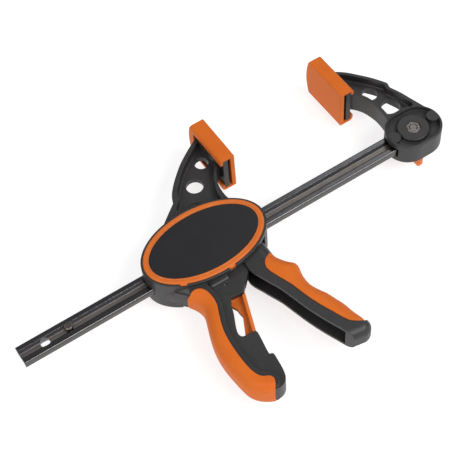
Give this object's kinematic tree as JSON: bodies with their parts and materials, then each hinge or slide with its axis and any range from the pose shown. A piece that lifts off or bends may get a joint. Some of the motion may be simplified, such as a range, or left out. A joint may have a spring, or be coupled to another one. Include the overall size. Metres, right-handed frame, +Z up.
{
  "type": "quick release bar clamp",
  "caption": "One-handed bar clamp: a fixed jaw on a flanged steel bar, a sliding head that a squeeze handle feeds along it, and a trigger that frees the head.",
  "frame": {"origin": "centre of the base of the bounding box, below the middle of the whole clamp as it lies on its side", "axes": "+X along the bar from its free end to the fixed jaw, +Y from the handles to the jaw pads, +Z up through the thickness of the clamp"},
  "size_m": [0.3411, 0.2074, 0.041],
  "materials": {
    "bar_steel": "dark burnished, rolled, satin along its length",
    "plain_steel": "plain, lightly oiled",
    "dark_steel": "blackened",
    "black_plastic": "moulded, fine texture",
    "orange_plastic": "moulded, satin",
    "orange_soft": "soft moulded layer, matt",
    "label_black": "plain, smooth, satin gloss"
  },
  "bodies": {
    "bar_side": {"bar": "bar_steel", "stop_pin": "dark_steel", "fixed_jaw": "black_plastic", "fixed_jaw_pad": "orange_soft", "lock_disc": "black_plastic", "lock_nut": "dark_steel"},
    "washer": {"lock_washer": "plain_steel"},
    "lock_screw": {"lock_bolt": "dark_steel", "lock_knob": "orange_plastic"},
    "head": {"head_housing": "black_plastic", "moving_jaw_pad": "orange_soft", "grip_overmould": "orange_soft", "front_cover": "orange_plastic", "rear_cover": "orange_plastic", "front_label": "label_black", "rear_label": "label_black", "handle_pivot_pin": "plain_steel", "trigger_pin": "plain_steel", "brake_spring": "plain_steel", "drive_spring": "plain_steel"},
    "handle": {"squeeze_handle": "black_plastic", "handle_overmould": "orange_soft"},
    "drive_plates": {"drive_plate_a": "plain_steel", "drive_plate_b": "plain_steel"},
    "trigger": {"release_trigger": "orange_plastic"},
    "brake": {"brake_plate": "plain_steel"}
  },
  "joints": [
    {"name": "head_slide", "type": "slide", "parent": "bar_side", "child": "head", "axis": [1, 0, 0], "range_m": [-0.056, 0.0925]},
    {"name": "handle_pivot", "type": "hinge", "parent": "head", "child": "handle", "pos_m": [-0.00455, 0.02385, 0.024], "axis": [0, 0, 1], "range_deg": [-18, 0], "stiffness_Nm_per_rad": 0.5, "springref_deg": 5.73},
    {"name": "drive_slide", "type": "slide", "parent": "head", "child": "drive_plates", "axis": [1, 0, 0], "range_m": [-0.0076, 0], "deforming": ["drive_spring"]},
    {"name": "trigger_pivot", "type": "hinge", "parent": "head", "child": "trigger", "pos_m": [-0.03305, -0.02065, 0.024], "axis": [0, 0, 1], "range_deg": [-6.5, 0], "stiffness_Nm_per_rad": 0.1, "springref_deg": 5.73},
    {"name": "brake_tilt", "type": "hinge", "parent": "head", "child": "brake", "pos_m": [-0.04215, -0.00165, 0.024], "axis": [0, 0, 1], "range_deg": [0, 6.7], "deforming": ["brake_spring"]},
    {"name": "washer_lift", "type": "slide", "parent": "bar_side", "child": "washer", "axis": [0, 0, -1], "range_m": [0, 0.004]},
    {"name": "lock_turn", "type": "hinge", "parent": "washer", "child": "lock_screw", "pos_m": [0.14895, 0.01285, 0.009], "axis": [0, 0, -1], "range_deg": [0, 1800]}
  ],
  "couplings": [
    {"joint": "drive_slide", "follows": "handle_pivot", "m_per_rad": 0.024},
    {"joint": "brake_tilt", "follows": "trigger_pivot", "ratio": -1.02},
    {"joint": "lock_turn", "follows": "washer_lift", "rad_per_m": 7854}
  ]
}
